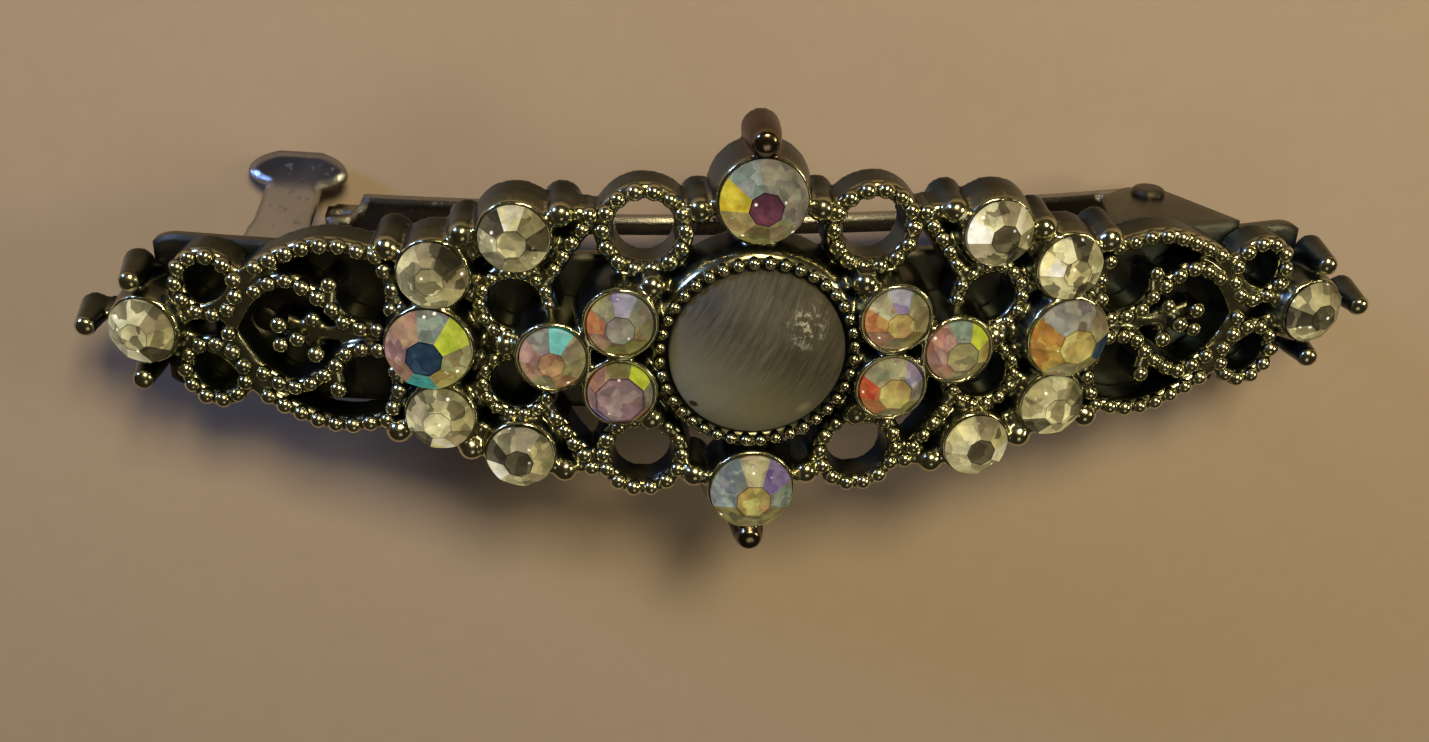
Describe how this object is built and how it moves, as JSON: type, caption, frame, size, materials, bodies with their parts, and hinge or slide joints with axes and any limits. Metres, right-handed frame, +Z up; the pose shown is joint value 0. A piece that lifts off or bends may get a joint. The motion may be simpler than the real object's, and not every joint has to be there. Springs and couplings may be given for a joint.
{
  "type": "hair clip",
  "caption": "Arched French hair clip: openwork cast top set with faceted rhinestones round a domed cabochon, on a sprung steel clasp with a hinged arm and squeeze-to-open catch.",
  "frame": {"origin": "centre of the closed clip's bounding box in X and Y, at its lowest point", "axes": "+X along the clip from the catch to the hinge, +Z up out of the decorated face"},
  "size_m": [0.0914, 0.0318, 0.0206],
  "materials": {
    "antique_silver": "plated casting, antiqued dark in the recesses",
    "steel": "polished nickel plate",
    "spring_steel": "plain rolled spring strip",
    "clear_stone": "faceted, foil backed",
    "iridescent_stone": "faceted, iridescent coating, foil backed",
    "cats_eye": "polished dome with a satin, fibrous body"
  },
  "bodies": {
    "base": {"filigree_casting": "antique_silver", "cabochon": "cats_eye", "rhinestone_ab_bottom": "iridescent_stone", "rhinestone_ab_left_cluster_lower": "iridescent_stone", "rhinestone_ab_left_cluster_outer": "iridescent_stone", "rhinestone_ab_left_cluster_upper": "iridescent_stone", "rhinestone_ab_left_large": "iridescent_stone", "rhinestone_ab_right_cluster_lower": "iridescent_stone", "rhinestone_ab_right_cluster_outer": "iridescent_stone", "rhinestone_ab_right_cluster_upper": "iridescent_stone", "rhinestone_ab_right_large": "iridescent_stone", "rhinestone_ab_top": "iridescent_stone", "rhinestone_clear_left_end": "clear_stone", "rhinestone_clear_left_lower_inner": "clear_stone", "rhinestone_clear_left_lower_outer": "clear_stone", "rhinestone_clear_left_upper_inner": "clear_stone", "rhinestone_clear_left_upper_outer": "clear_stone", "rhinestone_clear_right_end": "clear_stone", "rhinestone_clear_right_lower_inner": "clear_stone", "rhinestone_clear_right_lower_outer": "clear_stone", "rhinestone_clear_right_upper_inner": "clear_stone", "rhinestone_clear_right_upper_outer": "clear_stone", "base_plate": "steel", "catch_bracket": "steel", "catch_rivet": "steel", "hinge_pin": "steel", "tension_bar": "spring_steel"},
    "clasp_arm": {"clasp_arm": "steel"},
    "tab_upper": {"squeeze_tab_upper": "steel"},
    "tab_lower": {"squeeze_tab_lower": "steel"}
  },
  "joints": [
    {"name": "arm_hinge", "type": "hinge", "parent": "base", "child": "clasp_arm", "pos_m": [0.0305, 0, 0.00497], "axis": [0, -1, 0], "range_deg": [0, 80]},
    {"name": "tab_squeeze_upper", "type": "hinge", "parent": "base", "child": "tab_upper", "pos_m": [-0.03306, 0.0039, 0.00977], "axis": [-0.9798, 0, -0.1998], "range_deg": [0, 5], "stiffness_Nm_per_rad": 0.6},
    {"name": "tab_squeeze_lower", "type": "hinge", "parent": "base", "child": "tab_lower", "pos_m": [-0.03306, -0.0039, 0.00977], "axis": [0.9798, 0, 0.1998], "range_deg": [0, 5], "stiffness_Nm_per_rad": 0.6}
  ]
}
